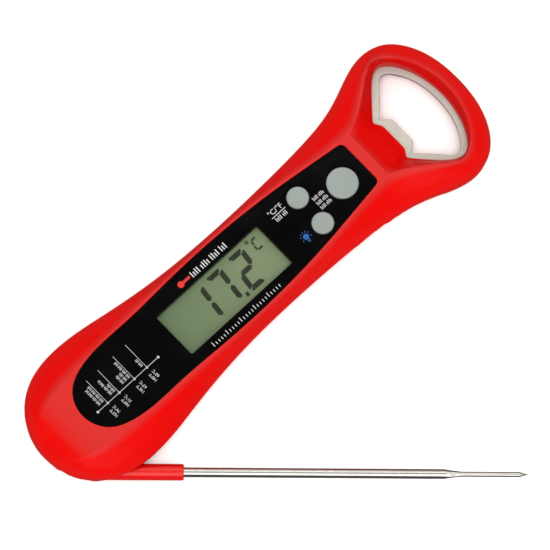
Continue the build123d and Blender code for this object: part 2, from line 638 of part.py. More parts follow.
# ---------------------------------------------------------------- all nodes
def build():
    nodes = {
        "front_shell": front_shell(),
        "rear_shell": rear_shell(),
        "front_overlay": front_overlay(),
        "overlay_tape": overlay_tape(),
        "display_lens": display_lens(),
        "lcd_cell": lcd_cell(),
        "lcd_frame": lcd_frame(),
        "light_guide": light_guide(),
        "backlight_leds": backlight_leds(),
        "zebra_strip": zebra_strip(),
        "main_board": main_board(),
        "controller_chip": controller_chip(),
        "board_parts": board_parts(),
        "reed_switch": reed_switch(),
        "switch_housings": switch_housings(),
        "board_screws": screw_row(BOARD_SCREWS, BOARD_BOTTOM - 0.9, BOARD_BOTTOM, 15.0, BOARD_SCREW_RADIUS, 1.6),
        "coin_cell": coin_cell(),
        "negative_contact": negative_contact(),
        "positive_contact": positive_contact(),
        "battery_door": battery_door(),
        "door_o_ring": door_o_ring(),
        "back_magnets": back_magnets(),
        "opener_plate": opener_plate(),
        "opener_screws": screw_row(OPENER_SCREWS, SCREW_HEAD_BOTTOM, SCREW_HEAD_TOP, SCREW_TIP, SCREW_RADIUS,
                                   SCREW_HEAD_RADIUS),
        "shell_screws": screw_row(SHELL_SCREWS, SCREW_HEAD_BOTTOM, SCREW_HEAD_TOP, SCREW_TIP, SCREW_RADIUS,
                                  SCREW_HEAD_RADIUS),
        "hinge_screw": pan_screw(*PIVOT, HINGE_HEAD_BOTTOM, HINGE_HEAD_TOP, HINGE_THREAD_TOP,
                                              SCREW_RADIUS, SCREW_HEAD_RADIUS),
        "hinge_pin": hinge_pin(),
        "friction_washer": friction_washer(),
        "hub_seal_ring": hub_seal_ring(),
        "body_leads": body_leads(),
        "probe_hub": probe_hub(),
        "hub_magnet": hub_magnet(),
        "probe_tube": probe_tube(),
        "sensor_bead": sensor_bead(),
        "sensor_leads": sensor_leads(),
    }
    for name in BUTTONS:
        nodes[f"{name}_button"] = button_cap(name)
        nodes[f"{name}_switch_stem"] = switch_stem(name)
    return nodes


def main():
    os.makedirs("parts", exist_ok=True)
    for name, shape in build().items():
        export_step(shape, f"parts/{name}.step")


if __name__ == "__main__":
    main()
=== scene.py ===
"""Looks of the folding-probe thermometer: sculpted shells, printed front, display, keys, probe and opener.

Lengths are written in millimetres and turned into metres where a mesh is made. +X runs from the hinge
end to the opener end, and +Z out of the display.
"""
import json
import math

import bmesh
import bpy
import numpy as np
from mathutils import Matrix, Vector


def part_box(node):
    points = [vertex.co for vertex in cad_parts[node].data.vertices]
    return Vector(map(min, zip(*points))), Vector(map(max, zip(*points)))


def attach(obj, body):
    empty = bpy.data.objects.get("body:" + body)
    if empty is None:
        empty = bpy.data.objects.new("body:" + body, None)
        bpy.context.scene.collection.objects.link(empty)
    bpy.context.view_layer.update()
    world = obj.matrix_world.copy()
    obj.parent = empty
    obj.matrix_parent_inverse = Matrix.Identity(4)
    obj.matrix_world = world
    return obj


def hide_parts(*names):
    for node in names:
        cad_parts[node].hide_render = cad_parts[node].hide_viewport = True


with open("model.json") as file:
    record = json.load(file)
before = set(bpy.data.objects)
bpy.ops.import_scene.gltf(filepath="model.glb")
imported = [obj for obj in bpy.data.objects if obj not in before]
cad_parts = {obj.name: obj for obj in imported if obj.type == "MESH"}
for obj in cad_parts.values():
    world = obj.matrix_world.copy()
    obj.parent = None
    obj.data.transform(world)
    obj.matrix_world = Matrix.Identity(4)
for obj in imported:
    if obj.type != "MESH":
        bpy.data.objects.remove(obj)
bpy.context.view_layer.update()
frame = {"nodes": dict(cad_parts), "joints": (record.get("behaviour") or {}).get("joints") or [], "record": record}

MM = 0.001
HOUSING, PROBE = "housing", "probe"

# ---------------------------------------------------------------- sizes shared with the frame
Z_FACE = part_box("front_shell")[1].z / MM
Z_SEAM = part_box("front_shell")[0].z / MM + 0.08
Z_EDGE = 11.0
Z_BULGE = 14.25
Z_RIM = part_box("opener_plate")[1].z / MM + 0.6
OVERLAY_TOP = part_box("front_overlay")[1].z / MM
OVERLAY_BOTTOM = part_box("front_overlay")[0].z / MM
POCKET_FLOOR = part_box("overlay_tape")[0].z / MM
FACE_UNDERSIDE = 15.6
WALL = 2.0
LIP = 0.3

# ---------------------------------------------------------------- outlines

# Point of the widest outline, matching point of the plateau's edge or the ring's crest, and how far out the
# side bulges
STATIONS = [
    ((-92.65, 0.0), (-90.0, 0.0), 0.86), ((-88.3, 14.0), (-87.4, 9.0), 0.80),
    ((-79.5, 21.2), (-77.0, 12.3), 0.76), ((-66.5, 23.8), (-63.0, 13.5), 0.72),
    ((-44.0, 21.1), (-42.0, 14.5), 0.70), ((-22.0, 18.35), (-22.0, 14.95), 0.70),
    ((2.0, 17.5), (2.0, 14.8), 0.70), ((24.0, 17.95), (22.0, 13.4), 0.70),
    ((40.0, 18.85), (37.0, 11.5), 0.70), ((52.0, 20.55), (48.0, 10.3), 0.72),
    ((60.0, 23.1), (55.0, 11.2), 0.76), ((67.0, 25.9), (61.0, 14.9), 0.82),
    ((75.0, 27.4), (67.5, 19.6), 0.86), ((82.5, 25.3), (74.8, 22.6), 0.86),
    ((89.0, 17.8), (82.6, 15.8), 0.86), ((92.65, 0.0), (87.3, 0.0), 0.86),
]
OVERLAY_SIDE = [(-75.7, 0.0), (-71.9, 8.8), (-64.5, 12.3), (-44.5, 13.4), (-24.5, 14.0), (-9.5, 14.2),
                (5.5, 13.7), (20.5, 12.5), (35.5, 10.65), (48.6, 8.9)]
OVERLAY_CORNER = 2.0
REST_ANGLE, ARM_OFFSET, ARM_Z = -43.8, 3.0, 6.25
RIM_SIDE = [(61.7, 8.0), (68.3, 15.5), (75.9, 20.6), (81.5, 15.2), (83.65, 10.0), (85.15, 0.0)]
RIM_TOOTH = (63.6, 5.2)
BOWL_TOP_SIDE = [(52.3, 8.9), (60.3, 13.2), (67.3, 18.2), (74.5, 21.9), (82.5, 15.5), (87.0, 0.0)]
OPENING_SIDE = [(64.2, 7.7), (71.3, 14.9), (75.4, 18.1), (79.1, 15.0), (81.6, 10.0), (83.15, 0.0)]
OPENING_TOOTH = (67.5, 5.1)
PLATE_SIDE = [(57.5, 9.3), (65.5, 17.3), (75.8, 23.4), (84.2, 18.3), (88.4, 0.0)]
PLATE_TANG = (50.6, 9.3)
SPINE = (-68.6, 71.0)
AROUND = 900


# ---------------------------------------------------------------- curves
class Spline:
    """Smooth cubic curve through points, closed or open. knots are the lengths given to its spans."""

    def __init__(self, points, closed=True, knots=None):
        self.p = np.asarray(points, float)
        self.closed = closed
        ahead = np.roll(self.p, -1, 0)
        spans = np.linalg.norm(ahead - self.p, axis=1) if knots is None else knots
        self.h = spans if closed else spans[:-1]
        self.start = np.concatenate([[0.0], np.cumsum(self.h)])
        n = len(self.p)
        system, right = np.zeros((n, n)), np.zeros_like(self.p)
        for i in range(n):
            if not closed and i in (0, n - 1):
                system[i, i] = 1.0
                continue
            before, after = self.h[i - 1], self.h[i]
            system[i, i - 1] += before
            system[i, i] += 2 * (before + after)
            system[i, (i + 1) % n] += after
            right[i] = 6 * ((self.p[(i + 1) % n] - self.p[i]) / after - (self.p[i] - self.p[i - 1]) / before)
        self.m = np.linalg.solve(system, right)

    def at(self, share):
        share = np.asarray(share, float)
        u = (share % 1 if self.closed else share) * self.start[-1]
        i = np.clip(np.searchsorted(self.start, u, side="right") - 1, 0, len(self.h) - 1)
        j = (i + 1) % len(self.p)
        h = self.h[i][:, None]
        s = (u - self.start[i])[:, None] / h
        r = 1 - s
        return r * self.p[i] + s * self.p[j] + h * h / 6 * ((r**3 - r) * self.m[i] + (s**3 - s) * self.m[j])


def mirrored_loop(side):
    """Side points from one end of the axis to the other, and back along the other side."""
    side = np.asarray(side, float)
    back = side[-2:0:-1].copy()
    back[:, 1] *= -1
    return np.vstack([side, back])


def squared_loop(side, tooth=(), samples=160):
    """Closed polygon with a straight left end across the axis and a smooth right end."""
    side = np.asarray(side, float)
    back = side[-2::-1] * [1, -1]
    curve = Spline(np.vstack([side, back]), closed=False).at(np.linspace(0, 1, samples))
    corners = np.asarray([(x, -y) for x, y in tooth] + [(x, y) for x, y in tooth[::-1]], float).reshape(-1, 2)
    return np.vstack([curve, corners])


def rounded_polygon(corners, radius, steps=6):
    """Polygon with each corner turned into a short curve that starts radius before it."""
    corners = np.asarray(corners, float)
    made = []
    for i, corner in enumerate(corners):
        ends = []
        for other in (corners[i - 1], corners[(i + 1) % len(corners)]):
            away = other - corner
            length = np.linalg.norm(away)
            ends.append(corner + away * min(radius, 0.45 * length) / length)
        for u in np.linspace(0, 1, steps):
            made.append((1 - u)**2 * ends[0] + 2 * u * (1 - u) * corner + u**2 * ends[1])
    return np.array(made)


def softened(corners, reach, step=0.25):
    """Closed outline with evenly spaced points, and its corners eased over about reach on each side."""
    ring = np.vstack([corners, corners[:1]])
    along = np.concatenate([[0], np.cumsum(np.linalg.norm(np.diff(ring, axis=0), axis=1))])
    places = np.linspace(0, along[-1], round(along[-1] / step), endpoint=False)
    even = np.stack([np.interp(places, along, ring[:, k]) for k in (0, 1)], axis=1)
    for _ in range(round(2 * (reach / step)**2)):
        even = (np.roll(even, 1, axis=0) + 2 * even + np.roll(even, -1, axis=0)) / 4
    return even


def rectangle(centre, size, radius):
    x, y = centre
    a, b = size[0] / 2, size[1] / 2
    return rounded_polygon([(x - a, y - b), (x + a, y - b), (x + a, y + b), (x - a, y + b)], radius)


def circle(x, y, radius, count=96):
    turn = np.arange(count) * 2 * math.pi / count
    return np.column_stack([x + radius * np.cos(turn), y + radius * np.sin(turn)])


def inset_loop(points, distance):
    """Closed polygon moved inwards; points run anticlockwise or clockwise."""
    along = np.roll(points, -1, 0) - np.roll(points, 1, 0)
    normal = np.column_stack([along[:, 1], -along[:, 0]])
    normal /= np.linalg.norm(normal, axis=1)[:, None]
    inside = points.mean(0) - points
    if (normal * inside).sum() < 0:
        normal = -normal
    return points + normal * distance


def inside_polygon(px, py, polygon):
    result = np.zeros(len(px), bool)
    for (ax, ay), (bx, by) in zip(polygon, np.roll(polygon, -1, 0)):
        crosses = (ay > py) != (by > py)
        reach = (bx - ax) * (py - ay) / (by - ay if by != ay else 1e-12) + ax
        result ^= crosses & (px < reach)
    return result


def distance_to(px, py, polygon):
    best = np.full(len(px), 1e9)
    for a, b in zip(polygon, np.roll(polygon, -1, 0)):
        span = b - a
        share = np.clip(((px - a[0]) * span[0] + (py - a[1]) * span[1]) / max(span @ span, 1e-12), 0, 1)
        best = np.minimum(best, np.hypot(px - a[0] - share * span[0], py - a[1] - share * span[1]))
    return best


# ---------------------------------------------------------------- meshes
def piece(name, verts, faces, body, material, replaces=(), sharp=35):
    """New piece from points in millimetres and faces; merges what coincides, and smooths up to sharp."""
    mesh = bpy.data.meshes.new(name)
    mesh.from_pydata([tuple(v) for v in np.asarray(verts, float) * MM], [], faces)
    obj = bpy.data.objects.new(name, mesh)
    bpy.context.scene.collection.objects.link(obj)
    tidy_mesh(obj, sharp)
    if body:
        dress(obj, body, material, replaces)
    return obj


def tidy_mesh(obj, sharp=35, merge=2e-6):
    bm = bmesh.new()
    bm.from_mesh(obj.data)
    bmesh.ops.remove_doubles(bm, verts=bm.verts, dist=merge)
    bmesh.ops.dissolve_degenerate(bm, edges=bm.edges, dist=1e-7)
    bmesh.ops.recalc_face_normals(bm, faces=bm.faces)
    bm.to_mesh(obj.data)
    bm.free()
    obj.data.shade_smooth()
    obj.data.set_sharp_from_angle(angle=math.radians(sharp))


def dress(obj, body, material, replaces=()):
    obj.data.materials.clear()
    obj.data.materials.append(material)
    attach(obj, body)
    if replaces:
        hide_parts(*replaces)


def loft_faces(rows, around, closed_ends=True):
    faces = []
    for j in range(rows - 1):
        for i in range(around):
            k = (i + 1) % around
            faces.append((j * around + i, j * around + k, (j + 1) * around + k, (j + 1) * around + i))
    if closed_ends:
        faces.append(tuple(range(around))[::-1])
        faces.append(tuple((rows - 1) * around + i for i in range(around)))
    return faces


def lofted(name, rows, body=None, slot=None, material=None, replaces=(), sharp=35, closed_ends=True):
    """Closed solid through rows of equally many points."""
    verts = np.vstack(rows)
    faces = loft_faces(len(rows), len(rows[0]), closed_ends)
    return piece(name, verts, faces, body, material, replaces, sharp)


def level(points, z):
    return np.column_stack([points, np.full(len(points), float(z))])


def prism(name, polygon, bottom, top, *args, **kwargs):
    return lofted(name, [level(polygon, bottom), level(polygon, top)], *args, **kwargs)


def soft_prism(name, polygon, bottom, top, edge, *args, **kwargs):
    """Prism whose two rims are rounded over by edge."""
    rounding = [(edge * (1 - math.sin(t)), edge * (1 - math.cos(t))) for t in np.linspace(0, math.pi / 2, 5)]
    rows = [level(inset_loop(polygon, inwards), bottom + up) for inwards, up in rounding]
    rows += [level(inset_loop(polygon, inwards), top - down) for down, inwards in rounding]
    return lofted(name, rows, *args, **kwargs)


def evaluated(obj):
    graph = bpy.context.evaluated_depsgraph_get()
    graph.update()
    mesh = bpy.data.meshes.new_from_object(obj.evaluated_get(graph))
    obj.modifiers.clear()
    obj.data = mesh
    return obj


def boolean(obj, other):
    """Cuts other out of obj, and removes it."""
    mod = obj.modifiers.new("cut", "BOOLEAN")
    mod.operation = "DIFFERENCE"
    mod.solver = "MANIFOLD"
    mod.object = other
    evaluated(obj)
    bpy.data.objects.remove(other)
    return obj


def lathe(name, profile, place, body, material, replaces=(), count=96, axis=(0, 0, 1), sharp=35,
          facet=None):
    """Turned solid: profile is (radius, height) pairs from one end of the axis to the other."""
    turn = np.arange(count) * 2 * math.pi / count
    rows = []
    for i, (radius, height) in enumerate(profile):
        r = np.full(count, float(radius)) * (facet(turn, height) if facet else 1.0)
        rows.append(np.column_stack([r * np.cos(turn), r * np.sin(turn), np.full(count, float(height))]))
    verts = np.vstack(rows)
    rotation = np.array(Vector((0, 0, 1)).rotation_difference(Vector(axis)).to_matrix())
    verts = verts @ rotation.T + np.asarray(place, float)
    return piece(name, verts, loft_faces(len(rows), count), body, material, replaces, sharp)


def remeshed_copy(node, name, voxel, smoothing, body, material):
    """Moulded-looking copy of a CAD node: its hard edges become small even fillets."""
    obj = bpy.data.objects.new(name, frame["nodes"][node].data.copy())
    bpy.context.scene.collection.objects.link(obj)
    remesh = obj.modifiers.new("remesh", "REMESH")
    remesh.mode = "VOXEL"
    remesh.voxel_size = voxel * MM
    relax = obj.modifiers.new("relax", "SMOOTH")
    relax.factor = 0.5
    relax.iterations = smoothing
    evaluated(obj)
    obj.data.shade_smooth()
    dress(obj, body, material, (node,))
    return obj


# ---------------------------------------------------------------- materials
class Nodes:
    """Small helper around one material's node tree."""

    def __init__(self, name):
        self.material = bpy.data.materials.new(name)
        self.material.use_nodes = True
        self.tree = self.material.node_tree
        self.shader = self.tree.nodes["Principled BSDF"]
        self.place = self.tree.nodes.new("ShaderNodeTexCoord").outputs["Object"]

    def add(self, kind, inputs=None, **settings):
        node = self.tree.nodes.new(kind)
        for key, value in settings.items():
            setattr(node, key, value)
        for key, value in (inputs or {}).items():
            self.put(node, key, value)
        return node

    def put(self, node, key, value):
        if isinstance(value, bpy.types.NodeSocket):
            self.tree.links.new(value, node.inputs[key])
        else:
            node.inputs[key].default_value = value

    def set(self, **values):
        for key, value in values.items():
            self.put(self.shader, key.replace("_", " "), value)

    def stretched(self, scale):
        return self.add("ShaderNodeMapping", {"Vector": self.place, "Scale": scale}).outputs["Vector"]

    def noise(self, scale, detail=3.0, rough=0.5, vector=None):
        inputs = {"Vector": vector or self.place, "Scale": scale, "Detail": detail, "Roughness": rough}
        return self.add("ShaderNodeTexNoise", inputs).outputs["Fac"]

    def ramp(self, value, stops):
        node = self.add("ShaderNodeValToRGB", {"Fac": value})
        ramp = node.color_ramp
        while len(ramp.elements) < len(stops):
            ramp.elements.new(0.5)
        for element, (at, colour) in zip(ramp.elements, stops):
            element.position = at
            element.color = (*colour, 1) if len(colour) == 3 else colour
        return node.outputs["Color"]

    def span(self, value, low, high, start=0.0, end=1.0):
        inputs = {"Value": value, "From Min": start, "From Max": end, "To Min": low, "To Max": high}
        return self.add("ShaderNodeMapRange", inputs).outputs["Result"]

    def bump(self, height, strength, distance, normal=None):
        inputs = {"Height": height, "Strength": strength, "Distance": distance}
        if normal is not None:
            inputs["Normal"] = normal
        return self.add("ShaderNodeBump", inputs).outputs["Normal"]

    def math(self, operation, a, b=0.0):
        return self.add("ShaderNodeMath", {0: a, 1: b}, operation=operation).outputs[0]


def tint(colour, factor):
    return tuple(min(1.0, c * factor) for c in colour)


def moulded(name, colour, roughness, grain=2600.0, depth=0.012, spread=0.08):
    """Moulded plastic or rubber: slight colour drift, a fine spark-eroded grain and uneven gloss."""
    n = Nodes(name)
    drift = n.noise(60.0, 4.0)
    n.set(Base_Color=n.ramp(drift, [(0.3, tint(colour, 1 - spread)), (0.7, tint(colour, 1 + spread))]))
    n.set(Roughness=n.span(n.noise(180.0, 5.0), roughness * 0.85, roughness * 1.18, 0.3, 0.7))
    n.set(Normal=n.bump(n.noise(grain, 2.0), 0.35, depth * MM))
    return n.material


def metal(name, colour, roughness, stretch, scale=900.0, depth=0.004, spread=0.12, metallic=1.0):
    """Drawn, rolled or ground metal: fine marks stretched along one direction."""
    n = Nodes(name)
    marks = n.noise(scale, 4.0, 0.6, n.stretched(stretch))
    cloud = n.noise(120.0, 3.0)
    n.set(Base_Color=n.ramp(cloud, [(0.3, tint(colour, 1 - spread)), (0.7, colour)]), Metallic=metallic)
    n.set(Roughness=n.span(marks, roughness * 0.75, roughness * 1.3, 0.3, 0.7))
    n.set(Normal=n.bump(marks, 0.3, depth * MM))
    return n.material


def shell_plastic():
    """Red ABS: satin sides, a finely textured plateau whose darker, pinker colour is a painted sheen, and a
    slightly bleached line along the edges that is a painted highlight where the sides roll over onto the plateau.
    """
    n = Nodes("red_abs")
    height = n.add("ShaderNodeSeparateXYZ", {"Vector": n.place}).outputs["Z"]
    # Height mask of the plateau: it sets the plateau's grain and gloss, and it also lays the painted sheen colour
    # over the plateau and the crest's rounding.
    top = n.span(height, 0.0, 1.0, (Z_FACE - 1.4) * MM, (Z_FACE - 0.15) * MM)
    drift = n.noise(38.0, 2.0)
    side = n.ramp(drift, [(0.2, (0.455, 0.0008, 0.0003)), (0.8, (0.475, 0.0012, 0.0005))])
    # The plateau colour is a painted sheen: a little darker and pinker than the sides. Where it blends into the
    # side colour over the crest's rounding, it makes a painted highlight line along the edges.
    plateau = n.ramp(drift, [(0.2, (0.40, 0.003, 0.002)), (0.8, (0.415, 0.004, 0.003))])
    painted_sheen_mix = n.add("ShaderNodeMix", {"Factor": top, 6: side, 7: plateau}, data_type="RGBA")
    speckle = n.noise(3400.0, 2.0, 0.6)
    smooth = n.span(n.noise(90.0, 2.0), 0.26, 0.32)
    rough = n.add("ShaderNodeMix", {"Factor": top, 2: smooth, 3: n.span(speckle, 0.38, 0.52)}).outputs[0]
    grain = n.bump(speckle, 0.35, 0.02 * MM)
    wave = n.bump(n.noise(70.0, 2.0), 0.12, 0.15 * MM, grain)
    n.set(Base_Color=painted_sheen_mix.outputs[2], Roughness=rough, Normal=wave)
    n.set(Specular_IOR_Level=n.span(top, 0.07, 0.34))
    n.set(Subsurface_Weight=0.04, Subsurface_Radius=(0.002, 0.0006, 0.0004), Subsurface_Scale=0.4)
    return n.material


def film():
    """Black printed film: high gloss with a faint orange-peel ripple and a few dull patches."""
    n = Nodes("black_film")
    dark, light = (0.001, 0.001, 0.0012), (0.002, 0.002, 0.0022)
    n.set(Base_Color=n.ramp(n.noise(90.0, 5.0), [(0.35, dark), (0.65, light)]))
    n.set(Roughness=n.span(n.noise(260.0, 3.0), 0.13, 0.19, 0.3, 0.7), Specular_IOR_Level=0.015)
    n.set(Normal=n.bump(n.noise(420.0, 2.0), 0.05, 0.03 * MM))
    return n.material


def display_face():
    """Grey-green liquid-crystal panel, a little darker at one end, with a faint polariser grain."""
    n = Nodes("lcd_face")
    along = n.add("ShaderNodeSeparateXYZ", {"Vector": n.place}).outputs["X"]
    share = n.span(along, 0.0, 1.0, -0.036, 0.010)
    grain = n.math("MULTIPLY", n.math("SUBTRACT", n.noise(1500.0, 2.0), 0.5), 0.2)
    tone = n.math("ADD", share, grain)
    n.set(Base_Color=n.ramp(tone, [(0.0, (0.082, 0.125, 0.058)), (1.0, (0.130, 0.172, 0.087))]))
    n.set(Roughness=n.span(n.noise(800.0, 3.0), 0.42, 0.55))
    n.set(Normal=n.bump(n.noise(900.0, 2.0), 0.05, 0.002 * MM))
    return n.material


def clear(name, alpha=0.03):
    n = Nodes(name)
    n.set(Base_Color=n.ramp(n.noise(200.0, 2.0), [(0.3, (0.02, 0.03, 0.025)), (0.7, (0.03, 0.04, 0.035))]))
    n.set(Roughness=n.span(n.noise(600.0, 3.0), 0.10, 0.16), Alpha=alpha, Specular_IOR_Level=0.2)
    return n.material


def floor_paper():
    n = Nodes("pale_floor")
    n.set(Base_Color=n.ramp(n.noise(8.0, 3.0), [(0.3, (0.86, 0.86, 0.86)), (0.7, (0.90, 0.90, 0.90))]))
    n.set(Roughness=n.span(n.noise(60.0, 3.0), 0.75, 0.9), Specular_IOR_Level=0.2)
    n.set(Normal=n.bump(n.noise(900.0, 3.0), 0.1, 0.02 * MM))
    return n.material


RED = shell_plastic()
FILM = film()
INK = moulded("white_ink", (0.42, 0.43, 0.44), 0.5, spread=0.05)
RED_INK = moulded("red_ink", (0.45, 0.006, 0.004), 0.5, spread=0.05)
BLUE_INK = moulded("blue_ink", (0.001, 0.065, 0.24), 0.5, spread=0.05)
KEY = moulded("key_grey", (0.185, 0.212, 0.203), 0.45, grain=2200.0, depth=0.015, spread=0.04)
SEGMENT = moulded("lcd_segment", (0.010, 0.013, 0.005), 0.6, grain=500.0, depth=0.0005)
LCD = display_face()
BLACK = moulded("black_plastic", (0.012, 0.012, 0.013), 0.4)
RUBBER = moulded("black_rubber", (0.02, 0.02, 0.02), 0.7, grain=1800.0, depth=0.03)
WHITE = moulded("white_plastic", (0.75, 0.75, 0.72), 0.45)
NYLON = moulded("nylon", (0.72, 0.70, 0.62), 0.4)
BOARD = moulded("board_green", (0.012, 0.11, 0.035), 0.35, grain=1200.0, depth=0.02, spread=0.2)
CERAMIC = moulded("ceramic", (0.30, 0.22, 0.14), 0.5, spread=0.3)
WIRE = moulded("wire_red", (0.5, 0.02, 0.02), 0.4)
GUIDE = moulded("light_guide", (0.72, 0.78, 0.84), 0.3)
LAMP = moulded("led_resin", (0.80, 0.76, 0.45), 0.25)
TAPE = moulded("tape", (0.6, 0.6, 0.55), 0.6)
CLEAR = clear("clear_lens")
PLATE = metal("matt_stainless", (0.50, 0.485, 0.44), 0.5, (1.0, 6.0, 1.0), scale=700.0, depth=0.006,
              metallic=0.45)
STEEL = metal("zinc_steel", (0.60, 0.60, 0.60), 0.3, (1.0, 1.0, 1.0))
NICKEL = metal("nickel", (0.70, 0.69, 0.67), 0.18, (1.0, 1.0, 1.0))
BRASS = metal("gold_flash", (0.80, 0.62, 0.28), 0.25, (1.0, 1.0, 1.0))
BY_SLOT = {
    "shell_red": RED, "overlay_black": FILM, "clear_lens": CLEAR, "lcd_glass": LCD, "white_plastic": WHITE,
    "light_guide": GUIDE, "led": LAMP, "elastomer": RUBBER, "circuit_board": BOARD, "chip_black": BLACK,
    "component_mix": CERAMIC, "reed_glass": clear("reed_glass", 0.4), "button_grey": KEY,
    "switch_black": BLACK,
    "adhesive": TAPE, "steel_plate": PLATE, "screw_steel": STEEL, "cell_steel": NICKEL,
    "contact_brass": BRASS,
    "magnet_grey": NICKEL, "nylon": NYLON, "seal_rubber": RUBBER, "wire": WIRE, "steel_probe": STEEL,
}


def polished_tube(axis):
    """Polished stainless tube with drawing lines along it."""
    n = Nodes("polished_tube")
    turn = Vector(axis).rotation_difference(Vector((1, 0, 0))).to_euler()
    inputs = {"Vector": n.place, "Rotation": turn, "Scale": (0.03, 1, 1)}
    local = n.add("ShaderNodeMapping", inputs).outputs["Vector"]
    marks = n.noise(5200.0, 3.0, 0.6, local)
    n.set(Base_Color=n.ramp(n.noise(90.0, 3.0), [(0.3, (0.62, 0.61, 0.59)), (0.7, (0.70, 0.69, 0.67))]))
    n.set(Metallic=1.0, Roughness=n.span(marks, 0.12, 0.18), Normal=n.bump(marks, 0.05, 0.001 * MM))
    return n.material


# ---------------------------------------------------------------- body shells
def body_loops():
    outline = mirrored_loop([s[0] for s in STATIONS])
    crest = mirrored_loop([(*s[1], s[2]) for s in STATIONS])
    knots = np.linalg.norm(np.roll(outline, -1, 0) - outline, axis=1)
    share = np.arange(AROUND) / AROUND
    outer = Spline(outline).at(share)
    inner = Spline(crest, knots=knots).at(share)
    spine = np.column_stack([np.clip(inner[:, 0], *SPINE), np.zeros(AROUND)])
    return outer, inner[:, :2], inner[:, 2:], spine


OUTER, CREST, BULGE, MIDDLE = body_loops()
RIM = softened(squared_loop(RIM_SIDE, (RIM_TOOTH,)), 0.5)
BOWL_TOP = squared_loop(BOWL_TOP_SIDE)
FALL_START, FALL_LENGTH = -77.0, 16.2
BOWL_START = 50.0


def face_height(points):
    """Height of the front inside its crest: the plateau, its fall to the hinge end, and the opener's bowl."""
    x, y = points[:, 0], points[:, 1]
    fall = np.clip((FALL_START - x) / FALL_LENGTH, 0, 0.95)
    z = Z_EDGE + (Z_FACE - Z_EDGE) * np.sqrt(1 - fall**2)
    near = x > BOWL_START
    px, py = x[near], y[near]
    to_rim, to_top = distance_to(px, py, RIM), distance_to(px, py, BOWL_TOP)
    share = to_rim / np.maximum(to_rim + to_top, 1e-9)
    share = np.where(inside_polygon(px, py, BOWL_TOP), share, 1.0)
    share = np.where(inside_polygon(px, py, RIM), 0.0, share)
    roll = np.clip((px - 56) / 9, 0, 1)
    z[near] -= (Z_FACE - Z_RIM) * (1 - share)**(1.02 + 0.28 * roll)
    return z


def rounded_rows(corners, reach, steps=5, runs=2):
    """Rows that follow the corners' rows in turn, each inner corner rounded over part of the run to it."""
    rows = [corners[0]]
    last = corners[0]
    for i in range(1, len(corners) - 1):
        before = corners[i] + reach[i - 1][0] * (corners[i - 1] - corners[i])
        after = corners[i] + reach[i - 1][1] * (corners[i + 1] - corners[i])
        rows += [last + (before - last) * k / runs for k in range(1, runs)]
        rows += [(1 - u)**2 * before + 2 * u * (1 - u) * corners[i] + u**2 * after
                 for u in np.linspace(0, 1, steps)]
        last = after
    return rows + [corners[-1]]


def towards(points, target, distance):
    away = target - points
    return points + away / np.maximum(np.linalg.norm(away, axis=1), 1e-9)[:, None] * distance


def on_face(points):
    return np.column_stack([points, face_height(points)])


def settled(rows, passes=26):
    """Rows of the face with the opener's bowl relaxed, so its slopes run into each other without creases."""
    grid = np.array(rows)
    bowl = np.array([inside_polygon(row[:, 0], row[:, 1], inset_loop(BOWL_TOP, 0.5)) for row in grid[:-1]])
    for _ in range(passes):
        z = grid[:, :, 2]
        mean = (np.roll(z, 1, 1) + np.roll(z, -1, 1))[1:-1] / 4 + (z[2:] + z[:-2]) / 4
        grid[1:-1, :, 2] = np.where(bowl[1:], mean, z[1:-1])
    return list(grid)


def front_solid():
    lip = towards(OUTER, MIDDLE, LIP)
    plateau = towards(CREST, MIDDLE, 0.55)
    crest = on_face(CREST)
    bulge = level(CREST + (OUTER - CREST) * BULGE, 0)
    bulge[:, 2] = np.minimum(Z_BULGE, Z_EDGE + 0.5 * (crest[:, 2] - Z_EDGE))
    corners = [level(lip, Z_SEAM), level(OUTER, Z_SEAM + LIP), level(OUTER, Z_EDGE), bulge, crest,
               on_face(plateau)]
    side = rounded_rows(corners, [(0.6, 0.3), (0.5, 0.35), (0.45, 0.4), (0.10, 0.9)])
    inner = [on_face(plateau + (MIDDLE - plateau) * share) for share in np.linspace(0, 1, 44)]
    return lofted("front_case", [level(MIDDLE, Z_SEAM), *side, *settled(inner)[1:]], closed_ends=False)


def cavity_solid():
    bulge = CREST + (OUTER - CREST) * BULGE
    under = CREST + (OUTER - CREST) * BULGE * (Z_FACE - FACE_UNDERSIDE) / (Z_FACE - Z_BULGE)
    rows = [level(MIDDLE, 8.0)]
    for loop, z in ((OUTER, 8.0), (OUTER, Z_EDGE), (bulge, Z_BULGE), (under, FACE_UNDERSIDE)):
        rows.append(level(towards(loop, MIDDLE, WALL), z))
    room = lofted("cavity", [*rows, level(MIDDLE, FACE_UNDERSIDE)], closed_ends=False)
    head = prism("head", rectangle((80, 0), (60, 80), 1), 0, 30)
    return boolean(room, head)


def overlay_outline(gap):
    side = np.asarray(OVERLAY_SIDE, float)
    loop = np.vstack([side[::-1], side[1:] * [1, -1]])
    curve = Spline(loop, closed=False).at(np.linspace(0, 1, 180))
    corner = OVERLAY_CORNER
    ends = []
    for sign in (-1, 1):
        tip = np.array([side[-1][0], sign * side[-1][1]])
        start = tip + np.array([-1.0, sign * 0.12]) * corner
        stop = tip + np.array([0.0, -sign]) * corner
        bend = [(1 - u)**2 * start + 2 * u * (1 - u) * tip + u**2 * stop for u in np.linspace(0, 1, 8)]
        ends.append(np.array(bend if sign < 0 else bend[::-1]))
    body = curve[(curve[:, 0] < side[-1][0] - corner - 0.3)]
    outline = np.vstack([body, ends[0], ends[1]])
    return inset_loop(outline, gap) if gap else outline


def key_places():
    """Centre and cap radius of each key, from its flange's box."""
    found = {}
    for name in ("hold", "unit", "light"):
        low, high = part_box(f"{name}_button")
        found[name] = ((low.x + high.x) / 2 / MM, (low.y + high.y) / 2 / MM, (high.x - low.x) / 2 / MM - 1.0)
    return found


